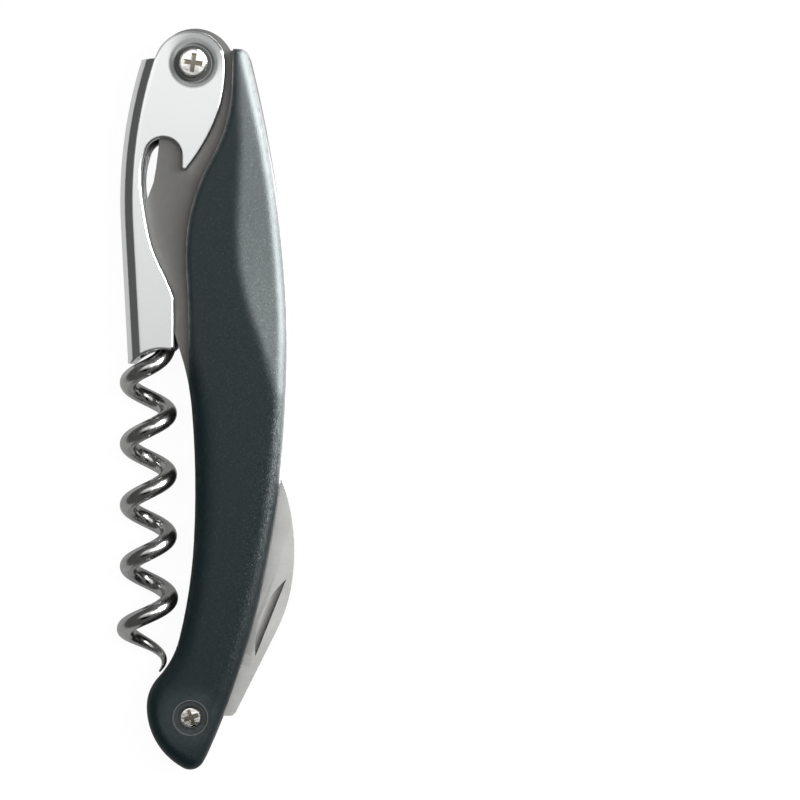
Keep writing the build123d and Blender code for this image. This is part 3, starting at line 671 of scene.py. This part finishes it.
def wire_line(worm):
    """The wire's centre line from the shank to the tip, each point with the wire's radius there."""
    pivot = PIVOTS["worm_fold"]
    half = worm.wire / 2
    side = (worm.coil - worm.wire) / 2 - worm.axis
    neck = pivot + Vector((side, -worm.neck, 0))
    bend = pivot + Vector((side, -worm.bend, 0))
    first = coil_point(worm, 0.0)
    reach = BEND_REACH * (first - bend).length
    way = (coil_point(worm, FIRST_STEP) - first).normalized()
    below = bend + Vector((0, -reach, 0))
    turned = interpolate_bezier(bend, below, first - reach * way, first, BEND_POINTS)
    root = neck + Vector((0, worm.draw, 0))
    line = [(root, worm.shank_thickness / 2 - ROOT_INSET), (neck, half)]
    line += [(point, half) for point in turned]
    count = int(worm.turns * TURN_STEPS)
    for step in range(1, count + 1):
        turn = worm.turns * step / count
        ground = max(0.0, turn - worm.turns + worm.tip_turns) / worm.tip_turns
        line.append((coil_point(worm, turn), half + (worm.tip / 2 - half) * ground))
    return line


def made_of(geometry, kind):
    """The items of one kind in what an operator gave back."""
    return [item for item in geometry if isinstance(item, kind)]


def draw_wire(mesh, line, sides):
    """Extrude a ring along a line of points and radii and close its ends."""
    points = [point for point, radius in line]
    ahead = points[1:] + [2 * points[-1] - points[-2]]
    behind = [2 * points[0] - points[1]] + points[:-1]
    ways = [(after - before).normalized() for before, after in zip(behind, ahead)]
    turn = Vector((0, 0, 1)).rotation_difference(ways[0])
    places = []
    for index, (point, radius) in enumerate(line):
        if index:
            turn = ways[index - 1].rotation_difference(ways[index]) @ turn
        places.append(Matrix.LocRotScale(point, turn, Vector((radius, radius, radius))))
    ring = bmesh.ops.create_circle(mesh, radius=1.0, segments=sides, matrix=places[0])["verts"]
    edges = list(dict.fromkeys(edge for vert in ring for edge in vert.link_edges))
    top = edges
    for before, after in zip(places, places[1:]):
        made = bmesh.ops.extrude_edge_only(mesh, edges=edges)["geom"]
        verts = made_of(made, bmesh.types.BMVert)
        edges = [edge for edge in made_of(made, bmesh.types.BMEdge) if set(edge.verts) <= set(verts)]
        bmesh.ops.transform(mesh, matrix=after @ before.inverted(), verts=verts)
    bmesh.ops.contextual_create(mesh, geom=top)
    bmesh.ops.contextual_create(mesh, geom=edges)


def cut_shank(mesh, worm):
    """Cut the flat shank with its rounded eye and hole."""
    pivot = PIVOTS["worm_fold"] - Vector((0, 0, worm.shank_thickness / 2))
    right = worm.coil / 2 - worm.axis
    low = -worm.neck
    corner = mesh.verts.new(pivot + Vector((right, 0, 0)))
    spun = bmesh.ops.spin(
        mesh,
        geom=[corner],
        cent=pivot + EYE_MIDDLE,
        axis=(0, 0, 1),
        angle=EYE_ARC,
        steps=EYE_STEPS,
        use_duplicate=False,
    )
    last = made_of(spun["geom_last"], bmesh.types.BMVert)[0]
    spots = [mesh.verts.new(pivot + Vector((across, low + rise, 0))) for across, rise in SHANK_SIDE]
    spots.append(mesh.verts.new(pivot + Vector((right, low, 0))))
    for start, end in zip([last] + spots, spots + [corner]):
        mesh.edges.new((start, end))
    hole = Matrix.Translation(pivot)
    bmesh.ops.create_circle(mesh, radius=worm.eye / 2, segments=HOLE_SIDES, matrix=hole)
    outline = [edge for edge in mesh.edges if not edge.link_faces]
    made = bmesh.ops.triangle_fill(mesh, use_beauty=True, edges=outline)["geom"]
    faces = made_of(made, bmesh.types.BMFace)
    raised = bmesh.ops.extrude_face_region(mesh, geom=faces, use_keep_orig=True)["geom"]
    verts = made_of(raised, bmesh.types.BMVert)
    bmesh.ops.translate(mesh, vec=(0, 0, worm.shank_thickness), verts=verts)
    rims = [edge for edge in mesh.edges if edge.is_manifold and edge.calc_face_angle(0.0) > RIM_ANGLE]
    bmesh.ops.bevel(
        mesh,
        geom=rims,
        offset=SHANK_ROUNDING,
        affect="EDGES",
        segments=2,
        profile=0.5,
        material=-1,
        clamp_overlap=True,
    )


class CORKSCREW_OT_wind_worm(Operator):
    """Wind the worm from smooth wire and polish it"""

    bl_idname = "corkscrew.wind_worm"
    bl_label = "Wind Worm"

    def execute(self, context):
        settings = context.scene.corkscrew_steel
        worm = context.scene.corkscrew_worm
        mesh = bmesh.new()
        cut_shank(mesh, worm)
        draw_wire(mesh, wire_line(worm), WIRE_SIDES)
        bmesh.ops.recalc_face_normals(mesh, faces=mesh.faces)
        data = bpy.data.meshes.new("worm_wire")
        mesh.to_mesh(data)
        mesh.free()
        data.shade_smooth()
        data.set_sharp_from_angle(angle=SMOOTH_ANGLE)
        piece = bpy.data.objects.new("worm_wire", data)
        context.scene.collection.objects.link(piece)
        material, nodes, shader, grain = metal(
            "worm_polish",
            settings.worm,
            settings.worm_rough,
            stretch=(3000, 1200, 3000),
            contrast=0.30,
            spread=0.20,
            depth=0.5,
        )
        data.materials.append(material)
        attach(piece, "worm")
        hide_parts("worm")
        return {"FINISHED"}


class CORKSCREW_OT_grind_blade(Operator):
    """Grind the blade with fine lines across it"""

    bl_idname = "corkscrew.grind_blade"
    bl_label = "Grind Blade"

    def execute(self, context):
        settings = context.scene.corkscrew_steel
        material, nodes, shader, grain = metal(
            "blade_grind",
            settings.blade,
            settings.blade_rough,
            stretch=(900, 9000, 2000),
            contrast=0.20,
            spread=0.12,
            depth=0.3,
            flatness=0.7,
        )
        line = NICK_HEAD - NICK_FOOT
        way = line.normalized()
        place = nodes.add("ShaderNodeTexCoord").outputs["Object"]
        reach = nodes.vector("SUBTRACT", place, tuple(NICK_FOOT))
        across = nodes.vector("DOT_PRODUCT", reach, (-way.y, way.x, 0.0))
        along = nodes.vector("DOT_PRODUCT", reach, tuple(way))
        height = nodes.add("ShaderNodeSeparateXYZ", Vector=place).outputs["Z"]
        depth = nodes.maths("SUBTRACT", BLADE_FACE, height)
        lip = nodes.range(depth, *NICK_LIP, 0.0, NICK_LIP_SHADE)
        shade = nodes.product(
            nodes.maths("COMPARE", across, NICK_BESIDE, NICK_HALF_WIDTH),
            nodes.maths("COMPARE", along, line.length / 2, NICK_HALF_LENGTH),
            nodes.maths("ADD", lip, nodes.range(depth, *NICK_DEPTH, 0.0, NICK_SHADE)),
        )
        ground = nodes.blend(shade, grain["Colour"], solid(settings.nick))
        nodes.link(ground, shader.inputs["Base Color"])
        dress(material, "knife_blade")
        return {"FINISHED"}


class CORKSCREW_OT_finish_hardware(Operator):
    """Finish the screws, sleeves, pins, washers and the back spring"""

    bl_idname = "corkscrew.finish_hardware"
    bl_label = "Finish Hardware"

    def execute(self, context):
        settings = context.scene.corkscrew_steel
        turned = {"stretch": (4000, 4000, 4000), "contrast": 0.2, "spread": 0.15, "depth": 0.3}
        steel, nodes, shader, grain = metal(
            "hardware_steel", settings.hardware, settings.hardware_rough, **turned
        )
        dress(steel, *SLEEVES, *HIDDEN_STEEL)
        screw, nodes, shader, grain = metal("screw_steel", settings.screw, settings.hardware_rough, **turned)
        place = nodes.add("ShaderNodeTexCoord").outputs["Object"]
        height = nodes.add("ShaderNodeSeparateXYZ", Vector=place).outputs["Z"]
        # Painted shade in the cross and on all below the head's face.
        cross = nodes.range(height, *CROSS, 1.0, 0.0)
        head = nodes.blend(cross, grain["Colour"], solid(settings.cross))
        nodes.link(head, shader.inputs["Base Color"])
        upper = nodes.radius(place, PIVOTS["lever_fold"])
        lower = nodes.radius(place, PIVOTS["knife_fold"])
        away = nodes.maths("MINIMUM", upper, lower)
        dome = nodes.product(nodes.maths("POWER", away, 2.0), HEAD_DOME)
        dents = nodes.add("ShaderNodeTexNoise", Vector=place, Scale=DENT_DENSITY, Detail=2.0)
        face = nodes.range(height, *CROSS, 0.0, DENT_DEPTH)
        struck = nodes.maths("MULTIPLY_ADD", dents.outputs["Fac"], face, dome)
        rounded = nodes.add("ShaderNodeBump", Distance=1.0, Height=struck, Normal=grain["Normal"])
        nodes.link(rounded.outputs["Normal"], shader.inputs["Normal"])
        dress(screw, *SCREWS)
        spring, nodes, shader, grain = metal(
            "spring_black",
            settings.spring,
            settings.spring_rough,
            stretch=(600, 4000, 600),
            contrast=0.5,
            spread=0.2,
            depth=0.3,
        )
        shader.inputs["Metallic"].default_value = 0.0
        dress(spring, "back_spring")
        return {"FINISHED"}


class CORKSCREW_OT_build_studio(Operator):
    """Build the floor, the light and the camera"""

    bl_idname = "corkscrew.build_studio"
    bl_label = "Build Studio"

    def execute(self, context):
        settings = context.scene.corkscrew_studio
        scene = context.scene
        scene.view_settings.view_transform = "Standard"
        self.lay_floor(context, settings)
        self.light_room(scene, settings)
        self.hang_lamps(scene, settings)
        self.set_camera(scene, settings)
        return {"FINISHED"}

    def lay_floor(self, context, settings):
        bpy.ops.mesh.primitive_plane_add(size=FLOOR_WIDTH)
        floor = context.object
        floor.name = "floor"
        material, nodes, shader = new_material("floor_white")
        shader.inputs["Base Color"].default_value = solid([settings.floor] * 3)
        shader.inputs["Roughness"].default_value = 0.9
        shader.inputs["Specular IOR Level"].default_value = 0.0
        output = nodes.tree.nodes["Material Output"]
        path = nodes.add("ShaderNodeLightPath").outputs
        glow = nodes.add("ShaderNodeEmission", Color=WHITE, Strength=FLOOR_GLOW)
        place = nodes.add("ShaderNodeTexCoord").outputs["Object"]
        along = nodes.add("ShaderNodeSeparateXYZ", Vector=place).outputs["Y"]
        shown = nodes.range(along, *FLOOR_CHANGE, settings.floor_mirror_low, settings.floor_mirror)
        mirrored = nodes.product(path["Is Glossy Ray"], shown)
        seen = nodes.maths("MAXIMUM", nodes.seen_directly(path), mirrored)
        seen = nodes.product(seen, settings.floor_glow)
        nodes.mix_shaders(seen, shader.outputs["BSDF"], glow.outputs["Emission"], output)
        floor.data.materials.append(material)

    def light_room(self, scene, settings):
        world = bpy.data.worlds.new("studio_world")
        scene.world = world
        world.use_nodes = True
        world.node_tree.nodes.clear()
        nodes = Nodes(world.node_tree)
        output = nodes.add("ShaderNodeOutputWorld")
        around = nodes.add("ShaderNodeTexCoord")
        split = nodes.add("ShaderNodeSeparateXYZ", Vector=around.outputs["Generated"])
        panel = nodes.range(split.outputs["Z"], *SKY_EDGE, 0.0, 1.0)
        level = nodes.maths("MULTIPLY_ADD", split.outputs["Y"], settings.sky_slope, settings.sky)
        level = nodes.maths("SUBTRACT", level, settings.surround)
        level = nodes.maths("MULTIPLY_ADD", level, panel, settings.surround)
        path = nodes.add("ShaderNodeLightPath").outputs
        studio = nodes.add("ShaderNodeBackground", Color=WHITE, Strength=level)
        white = nodes.add("ShaderNodeBackground", Color=WHITE, Strength=1.0)
        seen = nodes.seen_directly(path)
        nodes.mix_shaders(seen, studio.outputs["Background"], white.outputs["Background"], output)

    def hang_lamps(self, scene, settings):
        lamps = {
            "rim_softbox": (settings.rim_light, (0.53, 0.18, 0.25), (0.31, 0.42), None, False, True),
            "facet_softbox": (settings.facet_light, (0.33, 0.09, 0.47), (0.20, 0.40), None, True, True),
            "edge_panel": (settings.edge_light, (0.146, 0.056, 0.002), (0.268, 0.14), (0, 0, 1), False, True),
            "overhead_fill": (settings.fill_light, (0.0, 0.0, 0.60), (0.50, 0.50), None, True, False),
        }
        for name, (power, place, size, facing, lights_paint, shows_in_metal) in lamps.items():
            lamp = bpy.data.lights.new(name, "AREA")
            lamp.shape = "RECTANGLE"
            lamp.size, lamp.size_y = size
            lamp.energy = power
            holder = bpy.data.objects.new(name, lamp)
            holder.location = place
            aim = Vector(facing) if facing else -Vector(place)
            holder.rotation_euler = aim.to_track_quat("-Z", "Y").to_euler()
            holder.visible_camera = False
            holder.visible_diffuse = lights_paint
            holder.visible_glossy = shows_in_metal
            scene.collection.objects.link(holder)

    def set_camera(self, scene, settings):
        camera = bpy.data.cameras.new("camera")
        camera.sensor_width = 36
        camera.lens = camera.sensor_width * settings.distance / settings.field
        camera.clip_start = 0.01
        viewer = bpy.data.objects.new("camera", camera)
        viewer.location = (settings.view_x, settings.view_y, settings.view_height + settings.distance)
        scene.collection.objects.link(viewer)
        scene.camera = viewer


class CORKSCREW_PT_panel(Panel):
    """The corkscrew's steps"""

    bl_label = "Corkscrew"
    bl_idname = "CORKSCREW_PT_panel"
    bl_space_type = "VIEW_3D"
    bl_region_type = "UI"
    bl_category = "Corkscrew"

    def draw(self, context):
        for step in STEPS:
            self.layout.operator(step.bl_idname)


STEPS = (
    CORKSCREW_OT_make_effects,
    CORKSCREW_OT_paint_handle,
    CORKSCREW_OT_plate_lever,
    CORKSCREW_OT_wind_worm,
    CORKSCREW_OT_grind_blade,
    CORKSCREW_OT_finish_hardware,
    CORKSCREW_OT_build_studio,
)
SETTINGS = {
    "corkscrew_paint": PaintSettings,
    "corkscrew_steel": SteelSettings,
    "corkscrew_worm": WormSettings,
    "corkscrew_studio": StudioSettings,
}


def register():
    for settings in SETTINGS.values():
        bpy.utils.register_class(settings)
    for step in STEPS:
        bpy.utils.register_class(step)
    bpy.utils.register_class(CORKSCREW_PT_panel)
    for name, settings in SETTINGS.items():
        setattr(bpy.types.Scene, name, PointerProperty(type=settings))


def unregister():
    for name in SETTINGS:
        delattr(bpy.types.Scene, name)
    bpy.utils.unregister_class(CORKSCREW_PT_panel)
    for step in reversed(STEPS):
        bpy.utils.unregister_class(step)
    for settings in SETTINGS.values():
        bpy.utils.unregister_class(settings)


def main():
    register()
    bpy.ops.corkscrew.make_effects()
    bpy.ops.corkscrew.paint_handle()
    bpy.ops.corkscrew.plate_lever()
    bpy.ops.corkscrew.wind_worm()
    bpy.ops.corkscrew.grind_blade()
    bpy.ops.corkscrew.finish_hardware()
    bpy.ops.corkscrew.build_studio()


if __name__ == "__main__":
    main()
